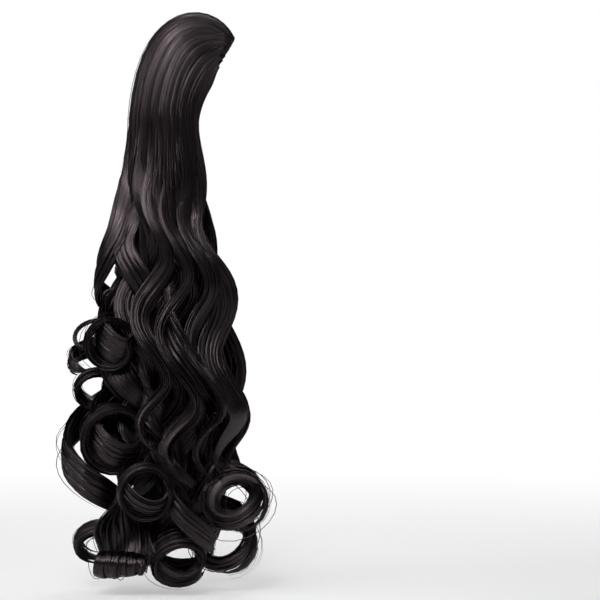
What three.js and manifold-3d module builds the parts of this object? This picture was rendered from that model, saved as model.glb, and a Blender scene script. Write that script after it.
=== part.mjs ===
// A clip-on wavy ponytail: a claw clip inside a smooth hump of hair, and curled locks hanging from the hump.
// Millimetres, +Z up, front towards -Y. The origin is the middle of the clip's grip.
import * as THREE from "three";
import { mergeVertices } from "three/addons/utils/BufferGeometryUtils.js";
import Module from "manifold-3d";

const wasm = await Module();
wasm.setup();

// Driving dimensions
const GAP = 0.35; // clearance that neighbouring pieces keep
const LOCK_GAP = 1.3 * GAP; // clearance round the bulk and round each lock
const TRESS_SPLIT = 12; // the outer and inner tresses meet this far inward of the bulk's middle
const CUT_SIZE = 600; // a cutting box, larger than the part is wide
const HANG_Z = -58.6; // where the crown ends and the locks hang free
const ROOT_SPREAD = 0.84; // the lock roots stand on this share of the crown's lower outline
const LOCK_SHARE = 0.8; // a lock's solid is this share of its loose outer size
const FLUTES = 6; // waves round the hanging bulk
const FLUTE_DEPTH = 0.1; // as a share of the bulk's size
const FLUTE_SWAY = 1.6; // radians that a flute swings to each side
const FLUTE_WAVE = 110; // millimetres of height from one swing to the next
const BULK_SIDES = 24;
const BULK_STEP = 22; // height between the bulk's rings
const ROOT_WIDTH = 7; // a lock where it leaves the crown
const ROOT_THICK = 6;
const FULL_AT = 0.5; // share of a lock's length where it reaches its full width
const TIP_SHARE = 0.4; // the tip's size as a share of the curl's
const TIP_FROM = 0.94; // share of a lock's length where the tip starts to narrow
const CURL_FROM = 0.25; // share of a lock's length where its curl starts to open
const CURL_FULL = 0.65; // and where it is fully open
const CURL_DRIFT = 14; // how far the last turns step aside from each other
const STEPS_PER_TURN = 8;
const LOFT_STEPS = 4; // steps in one loft of a lock, less than a turn
const LOCK_SIDES = 6;
const LOFT_SIDES = 14;

const CLIP = { length: 40, gap: 18, wall: 2.2, back: 9, reach: 12, slots: 4, slotWidth: 4.2, slotDepth: 13 };
const CLIP_LEAN = THREE.MathUtils.degToRad(32.7); // the clip faces the head, sideways and down by this angle

// Outline of the hump, a row for each level: height, left and right edge, half depth.
const CROWN_ROWS = [
  { z: -58.6, left: -68, right: -10.4, depth: 38 },
  { z: -32.6, left: -62.8, right: -4.4, depth: 40 },
  { z: -11.6, left: -56, right: 5.6, depth: 38 },
  { z: 6, left: -50, right: 17.6, depth: 33 },
  { z: 18.9, left: -42.4, right: 16.6, depth: 26 },
  { z: 27.4, left: -30.4, right: 4.6, depth: 18 },
  { z: 32.4, left: -21.4, right: -6.4, depth: 9 },
];
const CROWN_TOP = new THREE.Vector3(-14.6, 0, 33.9);

// Outline of the wavy bulk that hangs below the hump, in the same columns.
const BULK_ROWS = [
  { z: -58.6, left: -67, right: -11.4, depth: 37 },
  { z: -110, left: -67, right: -2, depth: 42 },
  { z: -180, left: -78, right: 14, depth: 48 },
  { z: -240, left: -78, right: 24, depth: 53 },
  { z: -300, left: -75, right: 28, depth: 55 },
  { z: -350, left: -64, right: 22, depth: 50 },
  { z: -390, left: -50, right: 2, depth: 34 },
  { z: -410, left: -38, right: -6, depth: 16 },
];

// One row for each lock. u and v place its root across and front to back in the bundle, from -1 to 1.
// x, y, z is the middle of its last ring. radius and turns shape the curl.
// phase is where its tip ends, in degrees, and hand is the sense it turns in.
// tilt lays the last ring down, from 0 upright to 90 flat, and facing turns it about the vertical.
// delay above 1 gathers the turns towards the tip, and settle above 1 slows the fall there.
// late is the share of the lock's length that hangs straight before it swings aside.
const LOCK_COLUMNS = [
  "name", "u", "v", "x", "y", "z", "radius", "turns", "phase",
  "tilt", "facing", "hand", "width", "thick", "delay", "settle", "late",
];
const LOCK_ROWS = [
  ["outer_roll", -0.97, -0.22, -78, -22, -235, 15, 0.8, 20, 80, 0, -1, 17, 10, 3.0, 1.0, 0.0],
  ["outer_curl", -0.9, -0.4, -81, -57, -251, 18, 2.3, 60, -28, 0, 1, 27, 9, 1.9, 3.0, 0.0],
  ["outer_thin_ring", -1.0, 0.02, -107, -8, -246, 8.5, 2.0, 330, 15, 0, 1, 5, 4, 2.2, 1.7, 0.5],
  ["outer_knot", -0.98, 0.17, -108, 2, -272, 11, 2.0, 330, 72, 0, 1, 14, 9, 3.0, 1.2, 0.5],
  ["outer_ringlet", -0.92, 0.38, -99, -14, -291, 13, 2.2, 330, -30, 0, 1, 18, 9, 1.9, 3.0, 0.4],
  ["side_ribbon", -0.83, 0.56, -99, -4, -399, 25.5, 2.2, 24, 80, 0, 1, 24, 14, 1.3, 1.0, 0.3],
  ["low_side_loop", -0.66, 0.75, -97, -2, -424, 15, 2.4, 330, -35, 0, 1, 18, 12, 2.2, 3.0, 0.4],
  ["front_barrel", -0.85, -0.53, -77, -54, -332, 24.5, 2.4, 40, -30, 0, 1, 28, 10, 1.9, 3.0, 0.0],
  ["front_ring", -0.42, -0.91, -49, -74, -375, 20, 2.8, 80, -24, 0, 1, 22, 10, 1.9, 3.0, 0.0],
  ["front_tress", 0.3, -0.95, -14, -48, -440, 20, 2.3, 60, 75, 0, 1, 16, 10, 1.4, 1.0, 0.0],
  ["inner_loop", 0.92, -0.38, 27, -42, -384, 22, 2.5, 210, 16, 0, -1, 16, 20, 1.9, 3.0, 0.0],
  ["inner_side_lock", 1.0, 0.05, 16, -20, -423, 23, 2.6, 235, 15, 0, -1, 16, 15, 2.0, 2.6, 0.0],
  ["low_band", -0.35, -0.55, -66, -46, -438, 11.5, 1.45, 60, 0, 80, -1, 46, 11, 2.5, 2.2, 0.0],
  ["low_front_ring", 0.0, -0.6, -23, -50, -434, 20, 2.6, 60, -48, 0, 1, 28, 11, 2.2, 3.0, 0.0],
  ["low_back_curl", -0.3, 0.4, -60, 34, -426, 18, 2.3, 60, -38, 180, 1, 24, 11, 2.2, 3.0, 0.0],
  ["back_lock_1", -0.42, 0.91, -90, 46, -326, 20, 2.4, 40, -28, 180, 1, 25, 10, 1.9, 3.0, 0.0],
  ["back_lock_2", -0.12, 0.99, -46, 70, -376, 20, 2.4, 80, -24, 180, 1, 22, 10, 1.9, 3.0, 0.0],
  ["back_lock_3", 0.2, 0.98, -20, 70, -322, 18, 2.3, 60, -28, 180, 1, 22, 10, 1.9, 3.0, 0.0],
  ["back_lock_4", 0.5, 0.87, -10, 56, -382, 20, 2.3, 40, -26, 180, 1, 24, 10, 2.0, 3.0, 0.0],
  ["back_lock_5", 0.77, 0.64, 2, 56, -266, 16, 2.2, 60, -25, 150, -1, 20, 10, 1.9, 3.0, 0.0],
  ["back_lock_6", 0.95, 0.3, -6, 30, -414, 17, 2.4, 60, -30, 120, -1, 20, 10, 2.0, 3.0, 0.0],
].map((row) => Object.fromEntries(LOCK_COLUMNS.map((column, i) => [column, row[i]])));

// Numbers from rows
function smoothstep(low, high, value) {
  const s = THREE.MathUtils.clamp((value - low) / (high - low), 0, 1);
  return s * s * (3 - 2 * s);
}

// The outline at one height, between the two rows around it.
function outlineAt(rows, z) {
  const rising = rows[0].z < rows[1].z ? rows : [...rows].reverse();
  const height = THREE.MathUtils.clamp(z, rising[0].z, rising.at(-1).z);
  const above = Math.max(1, rising.findIndex((row) => row.z >= height));
  const [a, b] = [rising[above - 1], rising[above]];
  const share = (height - a.z) / (b.z - a.z);
  const mix = (column) => THREE.MathUtils.lerp(a[column], b[column], share);
  const [left, right] = [mix("left"), mix("right")];
  return { middle: (left + right) / 2, half: (right - left) / 2, depth: mix("depth") };
}

// A closed body through a list of rings with the same number of points, with a fan over each end.
function loft(rings) {
  const sides = rings[0].length;
  const points = rings.flat();
  const faces = [];
  for (let r = 0; r + 1 < rings.length; r++) {
    for (let i = 0; i < sides; i++) {
      const [a, b] = [r * sides + i, r * sides + ((i + 1) % sides)];
      faces.push(a, b, b + sides, a, b + sides, a + sides);
    }
  }
  for (const [ring, flip] of [[0, true], [rings.length - 1, false]]) {
    const hub = points.length;
    const middle = rings[ring].reduce((sum, p) => sum.add(p), new THREE.Vector3());
    points.push(middle.divideScalar(sides));
    for (let i = 0; i < sides; i++) {
      const [a, b] = [ring * sides + i, ring * sides + ((i + 1) % sides)];
      faces.push(...(flip ? [hub, b, a] : [hub, a, b]));
    }
  }
  const geometry = new THREE.BufferGeometry().setFromPoints(points);
  geometry.setIndex(faces);
  return geometry;
}

// Booleans
function solidOf(geometry) {
  const bare = geometry.clone();
  bare.deleteAttribute("normal");
  bare.deleteAttribute("uv");
  const merged = mergeVertices(bare, 1e-4);
  const triVerts = new Uint32Array(merged.index.array);
  const vertProperties = merged.attributes.position.array;
  return new wasm.Manifold(new wasm.Mesh({ numProp: 3, vertProperties, triVerts }));
}

function largestBody(solid) {
  return solid.decompose().reduce((best, body) => (body.volume() > best.volume() ? body : best));
}

function geometryOf(solid) {
  const { vertProperties, triVerts } = solid.getMesh();
  const geometry = new THREE.BufferGeometry();
  geometry.setAttribute("position", new THREE.BufferAttribute(vertProperties, 3));
  geometry.setIndex(new THREE.BufferAttribute(triVerts, 1));
  return geometry;
}

// The clip's own axes: x towards the head, y across the jaws, z along the spine.
function leanOfClip() {
  return new THREE.Matrix4().makeRotationY(CLIP_LEAN);
}

// A U-shaped channel with slots that leave teeth on both jaws.
function clipSolid() {
  const outer = CLIP.gap / 2 + CLIP.wall;
  const inner = CLIP.gap / 2;
  const outline = new THREE.Shape();
  outline.moveTo(CLIP.reach, outer);
  outline.lineTo(-CLIP.back, outer);
  outline.absarc(-CLIP.back, 0, outer, Math.PI / 2, (3 * Math.PI) / 2, false);
  outline.lineTo(CLIP.reach, -outer);
  outline.lineTo(CLIP.reach, -inner);
  outline.lineTo(-CLIP.back, -inner);
  outline.absarc(-CLIP.back, 0, inner, (3 * Math.PI) / 2, Math.PI / 2, true);
  outline.lineTo(CLIP.reach, inner);
  outline.closePath();
  const settings = { depth: CLIP.length, bevelEnabled: false, curveSegments: 8 };
  const channel = new THREE.ExtrudeGeometry(outline, settings);
  channel.translate(0, 0, -CLIP.length / 2);
  let solid = solidOf(channel);
  const pitch = CLIP.length / (CLIP.slots + 1);
  for (let i = 1; i <= CLIP.slots; i++) {
    const slot = new THREE.BoxGeometry(2 * CLIP.slotDepth, 4 * outer, CLIP.slotWidth);
    slot.translate(CLIP.reach, 0, i * pitch - CLIP.length / 2);
    solid = solid.subtract(solidOf(slot));
  }
  return solidOf(geometryOf(solid).applyMatrix4(leanOfClip()));
}

// The room that the clip takes in the hump, open towards the head.
function clipRoom() {
  const halfWide = CLIP.gap / 2 + CLIP.wall + GAP;
  const deep = CLIP.back + CLIP.gap / 2 + CLIP.wall + GAP;
  const reach = 4 * CLIP.reach;
  const room = new THREE.BoxGeometry(deep + reach, 2 * halfWide, CLIP.length + 2 * GAP);
  room.translate((reach - deep) / 2, 0, 0);
  return solidOf(room.applyMatrix4(leanOfClip()));
}

function ellipseRing(outline, z, share = 1) {
  return Array.from({ length: LOFT_SIDES }, (_, i) => {
    const angle = (2 * Math.PI * i) / LOFT_SIDES;
    const x = outline.middle + share * outline.half * Math.cos(angle);
    return new THREE.Vector3(x, share * outline.depth * Math.sin(angle), z);
  });
}

function crownSolid() {
  const rings = CROWN_ROWS.map((row) => ellipseRing(outlineAt(CROWN_ROWS, row.z), row.z));
  rings.push(rings.at(-1).map((p) => p.clone().lerp(CROWN_TOP, 0.8).setZ(CROWN_TOP.z)));
  return solidOf(loft(rings)).subtract(clipRoom());
}

// The wavy bulk: an outline that tapers down, with flutes that sway from side to side.
// spare makes it bigger all round.
function bulkSolid(spare) {
  const [top, bottom] = [HANG_Z - GAP + spare, BULK_ROWS.at(-1).z - spare];
  const count = Math.ceil((top - bottom) / BULK_STEP);
  const rings = Array.from({ length: count + 1 }, (_, j) => {
    const z = THREE.MathUtils.lerp(bottom, top, j / count);
    const { middle, half, depth } = outlineAt(BULK_ROWS, z);
    const fluted = FLUTE_DEPTH * smoothstep(0, 80, HANG_Z - z);
    const sway = FLUTE_SWAY * Math.sin((2 * Math.PI * z) / FLUTE_WAVE);
    return Array.from({ length: BULK_SIDES }, (_, i) => {
      const angle = (2 * Math.PI * i) / BULK_SIDES;
      const share = 1 + fluted * Math.sin(FLUTES * angle + sway);
      const x = middle + (half * share + spare) * Math.cos(angle);
      return new THREE.Vector3(x, (depth * share + spare) * Math.sin(angle), z);
    });
  });
  return solidOf(loft(rings));
}

// The bulk in four tresses: the outer and inner side, each with a front and a back.
function tressSolids() {
  const bulk = bulkSolid(0);
  const middle = outlineAt(BULK_ROWS, HANG_Z).middle + TRESS_SPLIT;
  const tresses = [];
  for (const [side, sideSign] of [["outer", -1], ["inner", 1]]) {
    for (const [end, endSign] of [["front", -1], ["back", 1]]) {
      const quarter = new THREE.BoxGeometry(CUT_SIZE, CUT_SIZE, 2 * CUT_SIZE);
      const shift = (CUT_SIZE + GAP) / 2;
      quarter.translate(middle + sideSign * shift, endSign * shift, 0);
      tresses.push([`${side}_${end}_tress`, bulk.intersect(solidOf(quarter))]);
    }
  }
  return tresses;
}

// The middle line of a lock and the directions across it, at t from 0 at the root to 1 at the tip.
// The lock falls from the crown to the middle of its last ring while it turns round that falling middle.
// It starts as a corkscrew about the vertical, and its last turn lies over to the ring's own tilt.
function lockFrame(row, t) {
  const { degToRad, lerp } = THREE.MathUtils;
  const root = outlineAt(BULK_ROWS, HANG_Z);
  const rootX = root.middle + row.u * ROOT_SPREAD * root.half;
  const rootY = row.v * ROOT_SPREAD * root.depth;
  const facing = degToRad(row.facing);
  const across = new THREE.Vector3(Math.cos(facing), Math.sin(facing), 0);
  const level = new THREE.Vector3(-Math.sin(facing), Math.cos(facing), 0);

  const risingAt = (s) => {
    const tilt = degToRad(lerp(90, row.tilt, smoothstep(0.45, 0.92, s)));
    return new THREE.Vector3(0, 0, Math.cos(tilt)).addScaledVector(level, Math.sin(tilt));
  };
  const centreAt = (s) => {
    const swing = smoothstep(row.late, 0.85 + 0.2 * row.late, s);
    const fall = 1 - (1 - s) ** row.settle;
    return new THREE.Vector3(lerp(rootX, row.x, swing), lerp(rootY, row.y, swing), lerp(HANG_Z, row.z, fall));
  };
  const outwardAt = (s) => {
    const angle = row.hand * 2 * Math.PI * row.turns * (s ** row.delay - 1) + degToRad(row.phase);
    return across.clone().multiplyScalar(Math.cos(angle)).addScaledVector(risingAt(s), Math.sin(angle));
  };
  const pointAt = (s) => {
    const swell = row.radius * smoothstep(CURL_FROM, CURL_FULL, s);
    const drift = CURL_DRIFT * (s ** 3 - 1) * smoothstep(0.4, 0.8, s);
    const axis = new THREE.Vector3().crossVectors(across, risingAt(s));
    return centreAt(s).addScaledVector(outwardAt(s), swell).addScaledVector(axis, drift);
  };
  const small = 1e-3;
  const [before, after] = [Math.max(0, t - small), Math.min(1, t + small)];
  const along = pointAt(after).sub(pointAt(before)).normalize();
  const thickWay = outwardAt(t);
  thickWay.addScaledVector(along, -thickWay.dot(along)).normalize();
  const wideWay = new THREE.Vector3().crossVectors(along, thickWay);
  return { point: pointAt(t), along, thickWay, wideWay };
}

// A lock as a flattened six-sided sweep. spare makes it bigger all round, for the room it needs.
function lockSolid(row, spare) {
  const { lerp } = THREE.MathUtils;
  const steps = Math.ceil(row.turns * STEPS_PER_TURN) + 2;
  const ringAt = (t, further) => {
    const { point, along, thickWay, wideWay } = lockFrame(row, t);
    const full = smoothstep(0, FULL_AT, t);
    const tip = lerp(1, TIP_SHARE, smoothstep(TIP_FROM, 1, t));
    const width = lerp(ROOT_WIDTH, LOCK_SHARE * row.width, full) * tip + 2 * spare;
    const thick = lerp(ROOT_THICK, LOCK_SHARE * row.thick, full) * tip + 2 * spare;
    return Array.from({ length: LOCK_SIDES }, (_, i) => {
      const angle = (2 * Math.PI * i) / LOCK_SIDES;
      return point.clone()
        .addScaledVector(thickWay, (thick / 2) * Math.cos(angle))
        .addScaledVector(wideWay, (width / 2) * Math.sin(angle))
        .addScaledVector(along, further);
    });
  };
  const rings = [];
  for (let j = 0; j <= steps; j++) {
    const share = j / steps;
    const t = lerp(share, share ** (1 / row.delay), 0.6);
    rings.push(ringAt(t, j === steps ? spare : 0));
  }
  let solid = solidOf(loft(rings.slice(0, LOFT_STEPS + 1)));
  for (let first = LOFT_STEPS; first < steps; first += LOFT_STEPS) {
    solid = solid.add(solidOf(loft(rings.slice(first, first + LOFT_STEPS + 1))));
  }
  return solidOf(geometryOf(solid));
}

// Everything above the level where the locks leave the crown.
function aboveHang() {
  const room = new THREE.BoxGeometry(CUT_SIZE, CUT_SIZE, CUT_SIZE);
  room.translate(0, 0, HANG_Z - GAP + CUT_SIZE / 2);
  return solidOf(room);
}

// The locks in the order of the table. Each gives way to the bulk and to the locks before it.
function lockSolids() {
  const rooms = [aboveHang(), bulkSolid(LOCK_GAP)];
  const solids = [];
  for (const row of LOCK_ROWS) {
    const trimmed = rooms.reduce((rest, room) => rest.subtract(room), lockSolid(row, 0));
    const body = solidOf(geometryOf(largestBody(trimmed)));
    solids.push([row.name, body]);
    rooms.push(lockSolid(row, LOCK_GAP), body);
  }
  return solids;
}

const hairMaterial = new THREE.MeshStandardMaterial({
  color: 0x171314,
  roughness: 0.45,
  name: "hair",
});
const clipMaterial = new THREE.MeshStandardMaterial({
  color: 0x0c0c0d,
  roughness: 0.35,
  name: "clip_plastic",
});

function meshOf(name, solid, material) {
  const geometry = geometryOf(solid).toNonIndexed();
  geometry.computeVertexNormals();
  const mesh = new THREE.Mesh(geometry, material);
  mesh.name = name;
  return mesh;
}

const ponytail = new THREE.Group();
ponytail.name = "wavy_ponytail";
ponytail.add(meshOf("claw_clip", clipSolid(), clipMaterial));
ponytail.add(meshOf("crown", crownSolid(), hairMaterial));
for (const [name, solid] of [...tressSolids(), ...lockSolids()]) {
  ponytail.add(meshOf(name, solid, hairMaterial));
}

export default ponytail;
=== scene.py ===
"""A black wavy clip-on ponytail: a smooth hump of hair over a claw clip, wavy tresses and ringlet ends."""

import math
from collections import namedtuple

import bpy
import numpy as np
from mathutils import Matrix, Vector


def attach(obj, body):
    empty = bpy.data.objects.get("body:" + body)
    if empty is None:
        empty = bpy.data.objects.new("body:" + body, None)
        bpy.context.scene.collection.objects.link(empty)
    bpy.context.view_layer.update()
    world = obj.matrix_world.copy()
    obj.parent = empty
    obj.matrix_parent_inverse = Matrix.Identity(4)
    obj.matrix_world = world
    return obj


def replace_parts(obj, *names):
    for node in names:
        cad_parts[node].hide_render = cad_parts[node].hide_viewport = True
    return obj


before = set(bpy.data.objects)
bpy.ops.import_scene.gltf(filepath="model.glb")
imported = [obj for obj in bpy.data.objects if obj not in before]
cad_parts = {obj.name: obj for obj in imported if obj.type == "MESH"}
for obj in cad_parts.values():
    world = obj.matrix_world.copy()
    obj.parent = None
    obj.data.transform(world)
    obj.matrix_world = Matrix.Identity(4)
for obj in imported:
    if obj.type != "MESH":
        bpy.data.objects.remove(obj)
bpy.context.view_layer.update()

# The hair is worked out in millimetres, in the CAD's frame
MM = 0.001
SEED = 11

# The level where the hair leaves the hump, and the bundle's outline there
HANG_Z = -58.6
ROOT_MIDDLE = -39.2
ROOT_HALF = 26.5
ROOT_DEPTH = 34.5

# The clip's open face: its middle, the direction along its spine, its ends along that and half its width
FACE_MIDDLE = np.array([10.6, 0.0, -6.8])
SPINE = np.array([0.54, 0.0, 0.8415])
FACE_TOP = 22.0
FACE_BOTTOM = -17.0
FACE_HALF = 13.0

# How a strand is pulled where it leaves the clip and where it arrives at its root, in x and z for each end.
# The rows are for the hump's inner edge, its middle and its outer edge.
EDGE_PULLS = ((-4, -10, 1.5, 16), (-9, 11.5, 4.2, 63), (-14, 33, 7, 110))
FRONT_PULLS = ((-11, -17, 4.7, 28.6), (-31, 16.4, 4.4, 61), (-14, 33, 7, 110))
# How far the starts of the front strands fan down the face, and how strands bow to the front or the back
FAN_DROP = 8.0
LEAVE_BULGE = 8.0
ARRIVE_BULGE = -4.0
# Powers that spread the starts down the face, from its edge to its front, and out to its sides
FACE_POWER = 0.8
FRONT_POWER = 0.8
SIDE_POWER = 0.4

# Each ringlet: where its root is in the bundle, the middle of its last ring, the ring's radius, its turns,
# the angle where its tip ends, the ring's tilt, facing and hand, the lock's width and thickness,
# how its turns gather and settle, how late it swings aside, and how long its tip tapers.
LOCK_COLUMNS = (
    "name", "u", "v", "x", "y", "z", "radius", "turns", "phase",
    "tilt", "facing", "hand", "width", "thick", "delay", "settle", "late", "taper",
)
LOCK_ROWS = (
    ("outer_roll", -0.97, -0.22, -78, -22, -235, 15, 0.8, 20, 80, 0, -1, 17, 10, 3.0, 1.0, 0.0, 0.05),
    ("outer_curl", -0.9, -0.4, -81, -57, -251, 18, 2.3, 60, -28, 0, 1, 27, 9, 1.9, 3.0, 0.0, 0.05),
    ("outer_thin_ring", -1.0, 0.02, -107, -8, -246, 8.5, 2.0, 330, 15, 0, 1, 5, 4, 2.2, 1.7, 0.5, 0.05),
    ("outer_knot", -0.98, 0.17, -108, 2, -272, 11, 2.0, 330, 72, 0, 1, 14, 9, 3.0, 1.2, 0.5, 0.05),
    ("outer_ringlet", -0.92, 0.38, -99, -14, -291, 13, 2.2, 330, -30, 0, 1, 18, 9, 1.9, 3.0, 0.4, 0.05),
    ("side_ribbon", -0.83, 0.56, -99, -4, -399, 25.5, 2.2, 24, 80, 0, 1, 24, 14, 1.3, 1.0, 0.3, 0.08),
    ("low_side_loop", -0.66, 0.75, -97, -2, -424, 15, 2.4, 330, -35, 0, 1, 18, 12, 2.2, 3.0, 0.4, 0.06),
    ("front_barrel", -0.85, -0.53, -77, -54, -332, 24.5, 2.4, 40, -30, 0, 1, 28, 10, 1.9, 3.0, 0.0, 0.05),
    ("front_ring", -0.42, -0.91, -49, -74, -375, 20, 2.8, 80, -24, 0, 1, 22, 10, 1.9, 3.0, 0.0, 0.05),
    ("front_tress", 0.3, -0.95, -14, -48, -440, 20, 2.3, 60, 75, 0, 1, 16, 10, 1.4, 1.0, 0.0, 0.08),
    ("inner_loop", 0.92, -0.38, 27, -42, -384, 22, 2.5, 210, 16, 0, -1, 16, 20, 1.9, 3.0, 0.0, 0.18),
    ("inner_side_lock", 1.0, 0.05, 16, -20, -423, 23, 2.6, 235, 15, 0, -1, 16, 15, 2.0, 2.6, 0.0, 0.08),
    ("low_band", -0.35, -0.55, -66, -46, -438, 11.5, 1.45, 60, 0, 80, -1, 46, 11, 2.5, 2.2, 0.0, 0.04),
    ("low_front_ring", 0.0, -0.6, -23, -50, -434, 20, 2.6, 60, -48, 0, 1, 28, 11, 2.2, 3.0, 0.0, 0.05),
    ("low_back_curl", -0.3, 0.4, -60, 34, -426, 18, 2.3, 60, -38, 180, 1, 24, 11, 2.2, 3.0, 0.0, 0.05),
    ("back_lock_1", -0.42, 0.91, -90, 46, -326, 20, 2.4, 40, -28, 180, 1, 25, 10, 1.9, 3.0, 0.0, 0.05),
    ("back_lock_2", -0.12, 0.99, -46, 70, -376, 20, 2.4, 80, -24, 180, 1, 22, 10, 1.9, 3.0, 0.0, 0.05),
    ("back_lock_3", 0.2, 0.98, -20, 70, -322, 18, 2.3, 60, -28, 180, 1, 22, 10, 1.9, 3.0, 0.0, 0.05),
    ("back_lock_4", 0.5, 0.87, -10, 56, -382, 20, 2.3, 40, -26, 180, 1, 24, 10, 2.0, 3.0, 0.0, 0.05),
    ("back_lock_5", 0.77, 0.64, 2, 56, -266, 16, 2.2, 60, -25, 150, -1, 20, 10, 1.9, 3.0, 0.0, 0.05),
    ("back_lock_6", 0.95, 0.3, -6, 30, -414, 17, 2.4, 60, -30, 120, -1, 20, 10, 2.0, 3.0, 0.0, 0.05),
)
# What all ringlets share: how round the curl is, where along the lock it swells from nothing to full,
# how far the ribbons wind round with it, the points for each turn and how much the tip narrows
RINGLET = {"flatness": 1.0, "calm": 0.25, "full": 0.65, "wind": 1.0, "steps": 22, "point": 0.3}

# Each wave of the bulk: its tress, root, lower end, amplitude, turns, the height where it swings far left,
# and its width and thickness.
WAVE_COLUMNS = ("tress", "u", "v", "x", "y", "z", "radius", "turns", "crest", "width", "thick")
WAVE_ROWS = (
    ("outer_front_tress", -0.92, -0.40, -70, -32, -350, 11, 2.9, -256, 22, 9),
    ("outer_front_tress", -0.70, -0.71, -62, -46, -340, 12, 2.9, -258, 20, 9),
    ("outer_front_tress", -0.42, -0.91, -56, -44, -375, 13, 3.1, -216, 20, 9),
    ("outer_front_tress", -0.10, -1.00, -42, -68, -355, 13, 3.0, -224, 17, 9),
    ("outer_front_tress", -0.50, -0.45, -62, -26, -405, 12, 3.4, -215, 32, 12),
    ("inner_front_tress", 0.20, -0.98, -34, -46, -395, 13, 3.2, -232, 22, 9),
    ("inner_front_tress", 0.45, -0.89, -22, -66, -372, 14, 3.0, -240, 24, 9),
    ("inner_front_tress", 0.68, -0.74, -20, -46, -372, 13, 3.3, -250, 22, 9),
    ("inner_front_tress", 0.84, -0.55, 4, -56, -368, 12, 3.0, -246, 22, 9),
    ("inner_front_tress", 0.95, -0.32, 18, -38, -364, 10, 3.0, -256, 24, 9),
    ("inner_front_tress", 1.00, -0.05, 24, -20, -374, 8, 2.9, -252, 22, 9),
    ("inner_front_tress", 0.72, -0.20, 4, -16, -362, 9, 3.2, -245, 32, 12),
    ("inner_front_tress", 0.30, -0.55, -26, -26, -405, 12, 3.4, -232, 32, 12),
    ("outer_back_tress", -0.80, 0.60, -76, 30, -350, 12, 2.9, -256, 28, 10),
    ("outer_back_tress", -0.45, 0.89, -54, 48, -370, 13, 3.1, -215, 24, 10),
    ("outer_back_tress", -0.45, 0.30, -64, 10, -400, 12, 3.3, -215, 32, 12),
    ("inner_back_tress", 0.05, 1.00, -28, 56, -365, 13, 3.0, -225, 24, 10),
    ("inner_back_tress", 0.45, 0.89, -8, 46, -375, 13, 3.1, -235, 24, 10),
    ("inner_back_tress", 0.86, 0.50, 17, 22, -374, 8, 2.7, -205, 28, 10),
    ("inner_back_tress", 0.25, 0.20, -20, 6, -405, 12, 3.4, -236, 32, 12),
    ("inner_back_tress", 0.40, 0.42, -14, 14, -400, 8, 3.2, -238, 34, 12),
)
# What all waves share
WAVE = {
    "flatness": 0.45, "calm": -0.1, "full": 0.5, "wind": 0.0, "steps": 16, "point": 0.8,
    "tilt": 70, "facing": 0, "hand": 1, "delay": 1.15, "settle": 1.05, "late": 0.0, "taper": 0.2,
}

# Points along a lock: over the hump, below it beyond those for its turns, and the share packed to its tip
CROWN_STEPS = 14
SPARE_STEPS = 8
TIP_PACKING = 0.6

# Stretches of a lock where something sets in or fades, with -1 at the clip, 0 at the root and 1 at the tip
GATHER_SPAN = (-1.0, -0.55)
FULL_SPAN = (-0.05, 0.5)
ROOT_SPAN = (0.0, 0.4)
WANDER_SPAN = (0.0, 0.5)
SPREAD_SPAN = (0.02, 0.45)
WIND_SPAN = (0.05, 0.5)
DRIFT_SPAN = (0.4, 0.8)
TILT_SPAN = (0.45, 0.92)
# Where the swing aside ends, how much later it does so in a late lock, and how rings step along their axis
SWING_END = 0.85
LATE_SWING = 0.2
CURL_DRIFT = 14.0
DRIFT_POWER = 3

# A lock's make-up: one broad core, flat ribbons lying on both its faces and a few loose strands.
# Pitch, width, thickness and size are in millimetres. Places across and through a lock go from -1 to 1,
# and cuts are shares of its length. Pairs are ranges to draw from, apart from the core's shares of the
# lock's width and thickness.
CORE_SHARE = (0.90, 0.60)
CORE_SIDES = 20
CORE_RIDGE = 0.035
CORE_LOOSE = 0.5
RIBBON_PITCH = 3.0
RIBBON_WIDTH = 4.2
RIBBON_THICK = 0.8
RIBBON_SIDES = 6
RIBBON_WIDTHS = (0.75, 1.25)
RIBBON_REACH = 0.86
RIBBON_EDGE = 0.95
RIBBON_JITTER = 0.5
RIBBON_LIFT = 0.58
RIBBON_LIFTS = (-0.04, 0.08)
RIBBON_CUT = (0.0, 0.04)
RIBBON_LOOSE = 0.5
STRANDS_PER_LOCK = 9
STRAND_SIZE = 0.7
STRAND_SIDES = 3
STRAND_SIZES = (0.7, 1.2)
STRAND_ACROSS = 1.1
STRAND_THROUGH = 0.9
STRAND_CUT = (-0.02, 0.05)
STRAND_LOOSE = (0.8, 2.0)

# The degrees of the bundle's rim that a lock takes up, and the step between its layers there
RIM_STEP = 15.0
LAYER_STEP = 0.03
# The size and rate of the waves in which a tube wanders across and through its lock
ACROSS_WAVES = ((0.16, 9), (0.08, 21))
THROUGH_WAVES = ((0.3, 11), (0.15, 19))
WANDER_PHASE = 6.28
# A core's half width and half thickness at the clip, and what the hump adds to each
TOP_WIDE = (2.4, 3.8)
TOP_THICK = (0.8, 0.8)
# How unevenly tubes end, how much a tube thins at its tip, and the lock's narrowing end in tapers
END_JITTER = 0.02
TIP_THINNING = 0.9
POINT_TAPERS = 1.5

# Ridges along a tube: how many go round it, the sides that each needs, and how they drift and sway
RIDGE_COUNTS = (3, 5, 7)
SIDES_PER_RIDGE = 2.2
RIDGE_DEPTHS = (0.5, 1.0)
RIDGE_DRIFT = 3.0
RIDGE_SWAY = 2.0
SWAY_RATE = 7.0
SWAY_PHASE = 6.0
RIDGE_PHASE = 6.3

# The hump's under-layer: how many ribbons, then each one's reach from the bundle's middle, half width,
# half thickness and sides, and how deep its ridges are
UNDER_COUNT = 48
UNDER_RIBBON = (0.90, 6.0, 1.8, 12)
UNDER_RIDGE = 0.04
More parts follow.
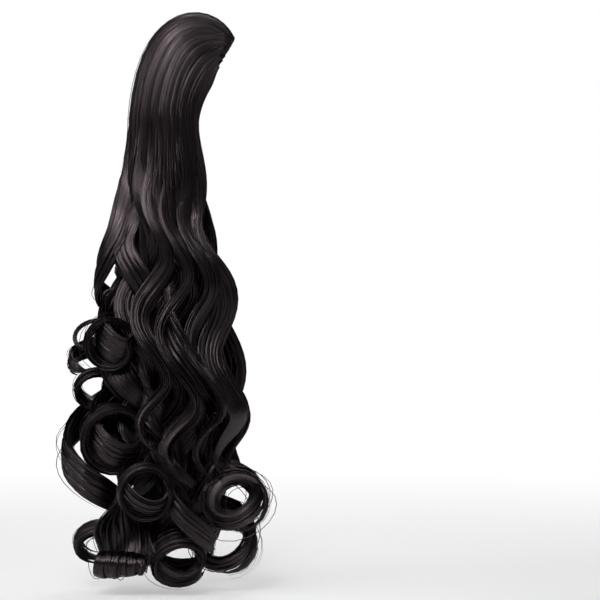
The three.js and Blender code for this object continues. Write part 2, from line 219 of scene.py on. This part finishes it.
# The hump's cover of ribbons, strands and flyaways: how many, the ranges of their angle in degrees and
# their reach, then half width, half thickness and sides
COVER_ROWS = (
    (160, (0, 360), (0.98, 1.05), 1.1, 0.45, RIBBON_SIDES),
    (180, (0, 360), (1.0, 1.07), 0.4, 0.4, STRAND_SIDES),
    (9, (120, 240), (1.10, 1.18), 0.3, 0.3, STRAND_SIDES),
)
# Points of a cover strand over the hump and below it, how far it falls there and how it spreads
HUMP_STEPS = 22
FALL_STEPS = 14
FALL_DROP = (40, 90)
FALL_SPREAD = np.array([6.0, 8.0, 0.0])
# A cover strand's size at the clip, where it is full, and how it thins below the hump
START_SIZE = 0.45
GROW_SPAN = (0.0, 0.3)
END_THINNING = 0.85
THIN_SPAN = (0.75, 1.0)

# The strand map: its name, the millimetres in one unit of it, and how far apart strands may lie in it
STRAND_MAP = "strand"
MAP_UNIT = 100.0
MAP_SPREAD = 50.0

# Hair noise: its scale across and along the strands, and its detail
FINE_NOISE = ((170, 2.2), 3)
CLUMP_NOISE = ((38, 1.1), 2)
# Each ramp: where its two ends lie in the noise and their values
HAIR_COLOURS = ((0.3, (0.0011, 0.0008, 0.0009)), (0.75, (0.0062, 0.0043, 0.0048)))
HAIR_ROUGHNESS = ((0.3, (0.25, 0.25, 0.25)), (0.7, (0.38, 0.38, 0.38)))
HAIR_SHEEN_TINT = (1.0, 0.82, 0.88, 1)
CLIP_COLOURS = ((0.3, (0.008, 0.008, 0.0085)), (0.7, (0.018, 0.018, 0.019)))
CLIP_ROUGHNESS = ((0.3, (0.46, 0.46, 0.46)), (0.7, (0.60, 0.60, 0.60)))
# Each bump: its strength, and its depth in metres
CLUMP_BUMP = (0.6, 0.0012)
FINE_BUMP = (0.6, 0.0005)
CLIP_BUMP = (0.15, 0.0002)

# The stage, in metres
FLOOR_Z = -0.462
FLOOR_HALF = 4.0
FLOOR_COLOUR = (0.86, 0.86, 0.86, 1)
# The floor glows white to the viewer: a near and a far distance, each with the strength of the glow there
GLOW_NEAR = (0.1, 0.35)
GLOW_FAR = (1.5, 1.0)
# The world's strength as a light, and as the backdrop that the viewer sees
WORLD_LIGHT = 0.05
WORLD_SEEN = 1.0
CAMERA_DISTANCE = 2.0
CAMERA_X = 0.0791
CAMERA_Z = -0.2133
VIEW_SIZE = 0.516
SENSOR = 36.0
# Each lamp: its place, where it points, its size, its power in watts and its spread in degrees
MIDDLE = (-0.04, 0, -0.2)
HUMP = (-0.02, 0, 0.01)
CURLS = (-0.04, 0, -0.40)
LAMPS = (
    ("key", (-0.30, -0.80, 0.72), MIDDLE, 1.0, 8.5, 180),
    ("hair_light", (0.05, -1.0, 0.5), HUMP, 0.25, 0.062, 15),
    ("curl_light", (-0.15, -0.9, 0.35), CURLS, 0.6, 0.34, 20),
    ("side", (-1.4, -0.7, 0.6), MIDDLE, 0.6, 6, 180),
    ("back", (0.2, 1.0, 0.7), MIDDLE, 1.0, 10, 180),
    ("fill", (0.9, -1.6, 0.2), MIDDLE, 0.9, 1.5, 180),
)

# One tube of a lock: its place across and through the lock, its shares of the lock's width and thickness,
# its sides, how much shorter than the lock it is and how loosely it lies
Part = namedtuple("Part", "across through wide thick sides cut loose")


def smooth(low, high, value):
    """From 0 at low to 1 at high, level at both ends."""
    s = np.clip((np.asarray(value, float) - low) / (high - low), 0, 1)
    return s * s * (3 - 2 * s)


def unit(vectors):
    return vectors / np.maximum(np.linalg.norm(vectors, axis=-1, keepdims=True), 1e-9)


def root_of(u, v):
    """Where a place in the bundle is at the level where the hair leaves the hump."""
    return np.array([ROOT_MIDDLE + u * ROOT_HALF, v * ROOT_DEPTH, HANG_Z])


def out_of_clip(u, v):
    """The way from the clip's middle to a strand's start on its rim, never quite nothing."""
    return SPINE * -u + np.array([0, v + 1e-3, 0])


def between(rows, outer):
    """A row for any place from the inner to the outer edge, on a parabola through the three rows."""
    inner, middle, last = np.array(rows, float)
    return (
        inner * (1 - outer) * (1 - 2 * outer)
        + middle * 4 * outer * (1 - outer)
        + last * outer * (2 * outer - 1)
    )


def crown_curve(u, v, s):
    """The way of a strand from the clip's rim over the hump to its root at (u, v)."""
    outer = min(max((1 - u) / 2, 0), 1)
    front = min(abs(v), 1) ** FRONT_POWER
    edge_along = FACE_TOP + (FACE_BOTTOM - FACE_TOP) * (1 - outer) ** FACE_POWER
    front_along = FACE_TOP - FAN_DROP * (1 - outer)
    along = edge_along + (front_along - edge_along) * front
    aside = math.copysign(abs(v) ** SIDE_POWER, v) * FACE_HALF
    start = FACE_MIDDLE + SPINE * along + np.array([0, aside, 0])
    end = root_of(u, v)
    leave_x, leave_z, arrive_x, arrive_z = (
        between(EDGE_PULLS, outer) * (1 - front) + between(FRONT_PULLS, outer) * front
    )
    leave = start + np.array([leave_x, LEAVE_BULGE * v, leave_z])
    arrive = end + np.array([arrive_x, ARRIVE_BULGE * v, arrive_z])
    s = np.asarray(s)[:, None]
    return (1 - s) ** 3 * start + 3 * s * (1 - s) ** 2 * leave + 3 * s * s * (1 - s) * arrive + s ** 3 * end


def hang_curve(row, t):
    """The middle line of a lock below the hump, and the direction out of its curl."""
    root = root_of(row["u"], row["v"])
    facing = math.radians(row["facing"])
    across = np.array([math.cos(facing), math.sin(facing), 0])
    level = np.array([-math.sin(facing), math.cos(facing), 0])
    tilt = np.radians(90 + (row["tilt"] - 90) * smooth(*TILT_SPAN, t))[:, None]
    rising = np.cos(tilt) * np.array([0, 0, 1.0]) + np.sin(tilt) * level
    axis = np.cross(across, rising)
    swing = smooth(row["late"], SWING_END + LATE_SWING * row["late"], t)[:, None]
    fall = (1 - (1 - t) ** row["settle"])[:, None]
    end = np.array([row["x"], row["y"], row["z"]])
    centre = root + (end - root) * np.concatenate([swing, swing, fall], axis=1)
    angle = row["hand"] * 2 * math.pi * row["turns"] * (t ** row["delay"] - 1) + math.radians(row["phase"])
    out = np.cos(angle)[:, None] * across + np.sin(angle)[:, None] * rising
    swell = row["radius"] * smooth(row["calm"], row["full"], t)[:, None]
    flat = np.cos(angle)[:, None] * across + row["flatness"] * np.sin(angle)[:, None] * rising
    drift = CURL_DRIFT * ((t ** DRIFT_POWER - 1) * smooth(*DRIFT_SPAN, t))[:, None]
    return centre + flat * swell + axis * drift, out


def transported(points, first):
    """Tangents, and a direction carried along the points with as little turning as possible."""
    tangent = unit(np.gradient(points, axis=0))
    carried = np.empty_like(points)
    current = first
    for i, way in enumerate(tangent):
        current = current - way * (current @ way)
        current = current / np.linalg.norm(current)
        carried[i] = current
    return tangent, carried


def lock_path(row):
    """Steps from -1 at the clip over 0 at the root to 1 at the tip, with points and ways across and out."""
    hang_steps = int(row["turns"] * row["steps"]) + SPARE_STEPS
    crown_s = np.linspace(0, 1, CROWN_STEPS, endpoint=False)
    even = np.linspace(0, 1, hang_steps)
    t = TIP_PACKING * even ** (1 / row["delay"]) + (1 - TIP_PACKING) * even
    hang, out = hang_curve(row, t)
    points = np.vstack([crown_curve(row["u"], row["v"], crown_s), hang])
    s = np.concatenate([crown_s - 1, t])
    tangent, carried = transported(points, out_of_clip(row["u"], row["v"]))
    beside = np.cross(tangent, carried)
    outward = np.vstack([np.repeat(out[:1], CROWN_STEPS, 0), out])
    outward = unit(outward - tangent * np.sum(outward * tangent, axis=1, keepdims=True))
    angle = np.arctan2(np.sum(outward * beside, axis=1), np.sum(outward * carried, axis=1))
    angle = np.unwrap(angle) * smooth(*WIND_SPAN, s) * row["wind"]
    away = carried * np.cos(angle)[:, None] + beside * np.sin(angle)[:, None]
    return s, points, np.cross(tangent, away), away


class Strands:
    """Collects closed tubes and turns them into one mesh."""

    def __init__(self):
        self.points = []
        self.quads = []
        self.fans = []
        self.quad_uv = []
        self.count = 0

    def tube(self, middle, wide_way, thick_way, wide, thick, profile, girth, map_from):
        """A tube round a middle line, closed by a hub at each end, as wide as its girth in the strand map."""
        rings, sides = profile.shape
        turn = np.linspace(0, 2 * np.pi, sides, endpoint=False)
        across = (wide[:, None] * np.cos(turn) * profile)[:, :, None] * wide_way[:, None, :]
        through = (thick[:, None] * np.sin(turn) * profile)[:, :, None] * thick_way[:, None, :]
        base = self.count
        self.points += [(middle[:, None, :] + across + through).reshape(-1, 3), middle[[0, -1]]]
        self.count += rings * sides + 2
        i = np.arange(sides)
        j = (i + 1) % sides
        row = base + np.arange(rings - 1)[:, None] * sides
        self.quads.append(np.stack([row + i, row + sides + i, row + sides + j, row + j], -1).reshape(-1, 4))
        last = base + (rings - 1) * sides
        hub = base + rings * sides
        self.fans.append(np.stack([np.full(sides, hub), base + i, base + j], -1))
        self.fans.append(np.stack([np.full(sides, hub + 1), last + j, last + i], -1))
        steps = np.linalg.norm(np.diff(middle, axis=0), axis=1)
        length = np.concatenate([[0], np.cumsum(steps)]) / MAP_UNIT
        uv = np.empty((rings - 1, sides, 4, 2))
        uv[..., 0] = np.stack([i, i, i + 1, i + 1], -1) / sides * girth / MAP_UNIT + map_from[0]
        uv[:, :, [0, 3], 1] = length[:-1, None, None] + map_from[1]
        uv[:, :, [1, 2], 1] = length[1:, None, None] + map_from[1]
        self.quad_uv.append(uv.reshape(-1, 2))

    def piece(self, name, material):
        """One object of all the tubes, riding on the body."""
        quads, fans = np.vstack(self.quads), np.vstack(self.fans)
        mesh = bpy.data.meshes.new(name)
        mesh.vertices.add(self.count)
        mesh.vertices.foreach_set("co", (np.vstack(self.points) * MM).astype(np.float32).ravel())
        mesh.loops.add(quads.size + fans.size)
        corners = np.concatenate([quads.ravel(), fans.ravel()])
        mesh.loops.foreach_set("vertex_index", corners.astype(np.int32))
        starts = np.concatenate([4 * np.arange(len(quads)), quads.size + 3 * np.arange(len(fans))])
        mesh.polygons.add(len(starts))
        mesh.polygons.foreach_set("loop_start", starts.astype(np.int32))
        mesh.polygons.foreach_set("use_smooth", np.ones(len(starts), bool))
        uv = mesh.uv_layers.new(name=STRAND_MAP)
        flat = np.vstack([np.vstack(self.quad_uv), np.zeros((fans.size, 2))])
        uv.data.foreach_set("uv", flat.astype(np.float32).ravel())
        mesh.update(calc_edges=True)
        mesh.materials.append(material)
        piece = bpy.data.objects.new(name, mesh)
        bpy.context.scene.collection.objects.link(piece)
        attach(piece, "root")
        return piece


def map_start(rng):
    """Where a tube starts in the strand map."""
    return rng.uniform(0, MAP_SPREAD, 2)


def ridged(rng, rings, sides, depth):
    """A tube's outline, with ridges that wander slowly along it if it has sides enough for them."""
    turn = np.linspace(0, 2 * np.pi, sides, endpoint=False)
    s = np.linspace(0, 1, rings)[:, None]
    profile = np.ones((rings, sides))
    for count in RIDGE_COUNTS:
        if count < sides / SIDES_PER_RIDGE:
            drift = rng.uniform(-RIDGE_DRIFT, RIDGE_DRIFT) * s
            sway = rng.uniform(-RIDGE_SWAY, RIDGE_SWAY) * np.sin(SWAY_RATE * s + rng.uniform(0, SWAY_PHASE))
            height = depth * rng.uniform(*RIDGE_DEPTHS)
            profile += height * np.cos(count * turn + rng.uniform(0, RIDGE_PHASE) + (drift + sway))
    return profile


def wandering(t, waves, phases):
    """How far a tube strays along its lock, as a sum of waves."""
    return sum(size * np.sin(rate * t + phase) for (size, rate), phase in zip(waves, phases))


def lock_parts(row, rng):
    """The core, ribbons and strands of a lock."""
    parts = [Part(0.0, 0.0, *CORE_SHARE, CORE_SIDES, 0.0, CORE_LOOSE)]
    count = max(2, round(row["width"] / RIBBON_PITCH))
    for face in (1, -1):
        for place in np.linspace(-RIBBON_REACH, RIBBON_REACH, count):
            across = place + rng.uniform(-RIBBON_JITTER, RIBBON_JITTER) / count
            bulge = math.sqrt(1 - min(abs(across) / RIBBON_EDGE, 1) ** 2)
            through = face * RIBBON_LIFT * bulge + rng.uniform(*RIBBON_LIFTS)
            wide = RIBBON_WIDTH * rng.uniform(*RIBBON_WIDTHS) / row["width"]
            thick = RIBBON_THICK / row["thick"]
            cut = rng.uniform(*RIBBON_CUT)
            parts.append(Part(across, through, wide, thick, RIBBON_SIDES, cut, RIBBON_LOOSE))
    for _ in range(STRANDS_PER_LOCK):
        across = rng.uniform(-STRAND_ACROSS, STRAND_ACROSS)
        through = rng.uniform(-STRAND_THROUGH, STRAND_THROUGH)
        size = STRAND_SIZE * rng.uniform(*STRAND_SIZES)
        cut = rng.uniform(*STRAND_CUT)
        loose = rng.uniform(*STRAND_LOOSE)
        wide, thick = size / row["width"], size / row["thick"]
        parts.append(Part(across, through, wide, thick, STRAND_SIDES, cut, loose))
    return parts


def top_sizes(part, s):
    """A tube's half width and half thickness between the clip and its root."""
    if part.sides == STRAND_SIDES:
        return STRAND_SIZE / 2, STRAND_SIZE / 2
    gathered = smooth(*GATHER_SPAN, s)
    wide = (TOP_WIDE[0] + TOP_WIDE[1] * gathered) * part.wide / CORE_SHARE[0]
    thick = (TOP_THICK[0] + TOP_THICK[1] * gathered) * part.thick / CORE_SHARE[1]
    return wide, thick


def add_lock(strands, row, rng):
    """One lock: a broad core, flat ribbons over it and loose strands beside it."""
    s, points, wide_way, thick_way = lock_path(row)
    rim = math.atan2(row["v"], row["u"])
    reach = math.hypot(row["u"], row["v"])
    half_width, half_thick = row["width"] / 2, row["thick"] / 2
    t = np.clip(s, 0, 1)
    full = smooth(*FULL_SPAN, s)
    narrowing = 1 - row["point"] * smooth(1 - POINT_TAPERS * row["taper"], 1, s)
    spread = smooth(*SPREAD_SPAN, s) * narrowing
    for part in lock_parts(row, rng):
        angle = rim + math.radians(part.across * RIM_STEP / 2)
        layer = reach + LAYER_STEP * part.through
        u, v = layer * math.cos(angle), layer * math.sin(angle)
        shift = np.zeros_like(points)
        shift[:CROWN_STEPS] = crown_curve(u, v, s[:CROWN_STEPS] + 1) - points[:CROWN_STEPS]
        root_shift = root_of(u, v) - root_of(row["u"], row["v"])
        shift[CROWN_STEPS:] = root_shift * (1 - smooth(*ROOT_SPAN, t[CROWN_STEPS:]))[:, None]
        loose = part.loose * smooth(*WANDER_SPAN, t)
        phases = rng.uniform(0, WANDER_PHASE, 4)
        across = part.across + loose * wandering(t, ACROSS_WAVES, phases[:2])
        through = part.through + loose * wandering(t, THROUGH_WAVES, phases[2:])
        middle = points + shift
        middle = middle + wide_way * (across * spread * half_width)[:, None]
        middle = middle + thick_way * (through * spread * half_thick)[:, None]
        end = 1 - part.cut - rng.uniform(0, END_JITTER)
        kept = s <= end
        tip = 1 - TIP_THINNING * smooth(end - row["taper"], end, s)
        wide_top, thick_top = top_sizes(part, s)
        wide = (wide_top + (half_width * part.wide - wide_top) * full) * tip
        thick = (thick_top + (half_thick * part.thick - thick_top) * full) * tip
        profile = ridged(rng, int(kept.sum()), part.sides, CORE_RIDGE)
        girth = 4 * (half_width + half_thick) * part.wide
        strands.tube(
            middle[kept], wide_way[kept], thick_way[kept], wide[kept], thick[kept],
            profile, girth, map_start(rng),
        )


def wave_row(row):
    """A wave of the bulk as a lock, with the phase that puts its far left swing at its crest height."""
    fall = (HANG_Z - row["crest"]) / (HANG_Z - row["z"])
    t = 1 - (1 - fall) ** (1 / WAVE["settle"])
    phase = 180 - 360 * row["turns"] * (t ** WAVE["delay"] - 1)
    return {**row, **WAVE, "phase": phase}


def crown_rows(rng):
    """Each tube of the hump: angle round the bundle, reach, half width, half thickness and sides."""
    rows = [(angle, *UNDER_RIBBON) for angle in np.linspace(0, 360, UNDER_COUNT, endpoint=False)]
    for count, angles, reaches, *tube in COVER_ROWS:
        rows += [(rng.uniform(*angles), rng.uniform(*reaches), *tube) for _ in range(count)]
    return rows


def add_crown(strands, rng):
    """Under-layer ribbons and fine cover strands over the hump."""
    steps = np.linspace(0, 1, HUMP_STEPS)
    fall = np.linspace(0, 1, FALL_STEPS)[1:, None]
    for angle, reach, wide, thick, sides in crown_rows(rng):
        u, v = reach * math.cos(math.radians(angle)), reach * math.sin(math.radians(angle))
        top = crown_curve(u, v, steps)
        drop = np.array([0, 0, -rng.uniform(*FALL_DROP)])
        below = top[-1] + fall * drop + fall ** 2 * (FALL_SPREAD * np.array([u, v, 0]))
        middle = np.vstack([top, below])
        tangent, away = transported(middle, out_of_clip(u, v))
        share = np.linspace(0, 1, len(middle))
        growing = START_SIZE + (1 - START_SIZE) * smooth(*GROW_SPAN, share)
        size = growing * (1 - END_THINNING * smooth(*THIN_SPAN, share))
        profile = ridged(rng, len(middle), sides, UNDER_RIDGE)
        strands.tube(
            middle, np.cross(tangent, away), away, wide * size, thick * size,
            profile, 4 * wide, map_start(rng),
        )


def new_material(name):
    """A material, its node tree and its shader."""
    material = bpy.data.materials.new(name)
    material.use_nodes = True
    return material, material.node_tree, material.node_tree.nodes["Principled BSDF"]


def strand_noise(tree, uv, scale, detail):
    """Noise stretched along the strands."""
    mapping = tree.nodes.new("ShaderNodeMapping")
    mapping.inputs["Scale"].default_value = (*scale, 1)
    texture = tree.nodes.new("ShaderNodeTexNoise")
    texture.inputs["Scale"].default_value = 1.0
    texture.inputs["Detail"].default_value = detail
    tree.links.new(uv, mapping.inputs["Vector"])
    tree.links.new(mapping.outputs["Vector"], texture.inputs["Vector"])
    return texture.outputs["Fac"]


def ramp(tree, value, stops):
    """A value turned into a colour between two stops."""
    node = tree.nodes.new("ShaderNodeValToRGB")
    for element, (place, colour) in zip(node.color_ramp.elements, stops):
        element.position = place
        element.color = (*colour, 1)
    tree.links.new(value, node.inputs["Fac"])
    return node.outputs["Color"]


def bump(tree, height, strength, depth):
    """A bump node over a height."""
    node = tree.nodes.new("ShaderNodeBump")
    node.inputs["Strength"].default_value = strength
    node.inputs["Distance"].default_value = depth
    tree.links.new(height, node.inputs["Height"])
    return node


def hair_material():
    """Glossy black fibre that shines across its strands."""
    material, tree, shader = new_material("black_hair")
    uv = tree.nodes.new("ShaderNodeUVMap")
    uv.uv_map = STRAND_MAP
    fine = strand_noise(tree, uv.outputs["UV"], *FINE_NOISE)
    clumps = strand_noise(tree, uv.outputs["UV"], *CLUMP_NOISE)
    tree.links.new(ramp(tree, fine, HAIR_COLOURS), shader.inputs["Base Color"])
    tree.links.new(ramp(tree, clumps, HAIR_ROUGHNESS), shader.inputs["Roughness"])
    shader.inputs["Anisotropic"].default_value = 0.85
    shader.inputs["Specular IOR Level"].default_value = 0.5
    shader.inputs["Specular Tint"].default_value = HAIR_SHEEN_TINT
    tangent = tree.nodes.new("ShaderNodeTangent")
    tangent.direction_type = "UV_MAP"
    tangent.uv_map = STRAND_MAP
    tree.links.new(tangent.outputs["Tangent"], shader.inputs["Tangent"])
    broad = bump(tree, clumps, *CLUMP_BUMP)
    lines = bump(tree, fine, *FINE_BUMP)
    tree.links.new(broad.outputs["Normal"], lines.inputs["Normal"])
    tree.links.new(lines.outputs["Normal"], shader.inputs["Normal"])
    return material


def clip_material():
    """Black plastic with a faint grain."""
    material, tree, shader = new_material("black_clip")
    place = tree.nodes.new("ShaderNodeTexCoord")
    texture = tree.nodes.new("ShaderNodeTexNoise")
    texture.inputs["Scale"].default_value = 220
    texture.inputs["Detail"].default_value = 4
    tree.links.new(place.outputs["Object"], texture.inputs["Vector"])
    grain = texture.outputs["Fac"]
    tree.links.new(ramp(tree, grain, CLIP_COLOURS), shader.inputs["Base Color"])
    tree.links.new(ramp(tree, grain, CLIP_ROUGHNESS), shader.inputs["Roughness"])
    tree.links.new(bump(tree, grain, *CLIP_BUMP).outputs["Normal"], shader.inputs["Normal"])
    return material


def floor_material():
    """A pale floor that fades into the white backdrop with distance."""
    material, tree, shader = new_material("pale_floor")
    shader.inputs["Base Color"].default_value = FLOOR_COLOUR
    shader.inputs["Roughness"].default_value = 0.8
    shader.inputs["Specular IOR Level"].default_value = 0.1
    place = tree.nodes.new("ShaderNodeTexCoord")
    distance = tree.nodes.new("ShaderNodeVectorMath")
    distance.operation = "LENGTH"
    tree.links.new(place.outputs["Object"], distance.inputs[0])
    fade = tree.nodes.new("ShaderNodeMapRange")
    fade.interpolation_type = "SMOOTHSTEP"
    for end, (far, strength) in (("Min", GLOW_NEAR), ("Max", GLOW_FAR)):
        fade.inputs["From " + end].default_value = far
        fade.inputs["To " + end].default_value = strength
    tree.links.new(distance.outputs["Value"], fade.inputs["Value"])
    path = tree.nodes.new("ShaderNodeLightPath")
    seen = tree.nodes.new("ShaderNodeMath")
    seen.operation = "MULTIPLY"
    tree.links.new(fade.outputs["Result"], seen.inputs[0])
    tree.links.new(path.outputs["Is Camera Ray"], seen.inputs[1])
    glow = tree.nodes.new("ShaderNodeEmission")
    blend = tree.nodes.new("ShaderNodeMixShader")
    tree.links.new(seen.outputs["Value"], blend.inputs["Fac"])
    tree.links.new(shader.outputs["BSDF"], blend.inputs[1])
    tree.links.new(glow.outputs["Emission"], blend.inputs[2])
    tree.links.new(blend.outputs["Shader"], tree.nodes["Material Output"].inputs["Surface"])
    return material


def add_floor():
    signs = ((-1, -1), (1, -1), (1, 1), (-1, 1))
    mesh = bpy.data.meshes.new("floor")
    mesh.from_pydata([(x * FLOOR_HALF, y * FLOOR_HALF, FLOOR_Z) for x, y in signs], [], [(0, 1, 2, 3)])
    mesh.materials.append(floor_material())
    floor = bpy.data.objects.new("floor", mesh)
    bpy.context.scene.collection.objects.link(floor)


def add_camera(scene):
    """A camera at the photograph's viewing angle."""
    camera = bpy.data.cameras.new("camera")
    camera.sensor_width = SENSOR
    camera.lens = SENSOR * CAMERA_DISTANCE / VIEW_SIZE
    viewer = bpy.data.objects.new("camera", camera)
    viewer.location = (CAMERA_X, -CAMERA_DISTANCE, CAMERA_Z)
    viewer.rotation_euler = (math.pi / 2, 0, 0)
    scene.collection.objects.link(viewer)
    scene.camera = viewer


def add_world(scene):
    """A white backdrop that gives little light of its own."""
    world = bpy.data.worlds.new("studio")
    world.use_nodes = True
    scene.world = world
    tree = world.node_tree
    background = tree.nodes["Background"]
    background.inputs["Color"].default_value = (1, 1, 1, 1)
    path = tree.nodes.new("ShaderNodeLightPath")
    strength = tree.nodes.new("ShaderNodeMapRange")
    strength.inputs["To Min"].default_value = WORLD_LIGHT
    strength.inputs["To Max"].default_value = WORLD_SEEN
    tree.links.new(path.outputs["Is Camera Ray"], strength.inputs["Value"])
    tree.links.new(strength.outputs["Result"], background.inputs["Strength"])


def add_lamp(scene, name, place, target, size, power, spread):
    light = bpy.data.lights.new(name, "AREA")
    light.size = size
    light.energy = power
    light.spread = math.radians(spread)
    lamp = bpy.data.objects.new(name, light)
    scene.collection.objects.link(lamp)
    lamp.location = place
    lamp.rotation_euler = (Vector(target) - Vector(place)).to_track_quat("-Z", "Y").to_euler()


def add_studio():
    scene = bpy.context.scene
    scene.view_settings.view_transform = "Standard"
    add_camera(scene)
    add_world(scene)
    for lamp in LAMPS:
        add_lamp(scene, *lamp)


def build():
    """Every hair piece in the place of its CAD node, and the clip's own node with its finish."""
    hair = hair_material()
    rng = np.random.default_rng(SEED)
    for values in LOCK_ROWS:
        row = {**dict(zip(LOCK_COLUMNS, values)), **RINGLET}
        strands = Strands()
        add_lock(strands, row, rng)
        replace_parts(strands.piece(row["name"] + "_hair", hair), row["name"])
    waves = [dict(zip(WAVE_COLUMNS, values)) for values in WAVE_ROWS]
    for tress in sorted({row["tress"] for row in waves}):
        strands = Strands()
        for row in waves:
            if row["tress"] == tress:
                add_lock(strands, wave_row(row), rng)
        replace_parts(strands.piece(tress + "_hair", hair), tress)
    strands = Strands()
    add_crown(strands, rng)
    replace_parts(strands.piece("crown_hair", hair), "crown")
    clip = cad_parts["claw_clip"]
    clip.data.materials.clear()
    clip.data.materials.append(clip_material())


build()
add_floor()
add_studio()
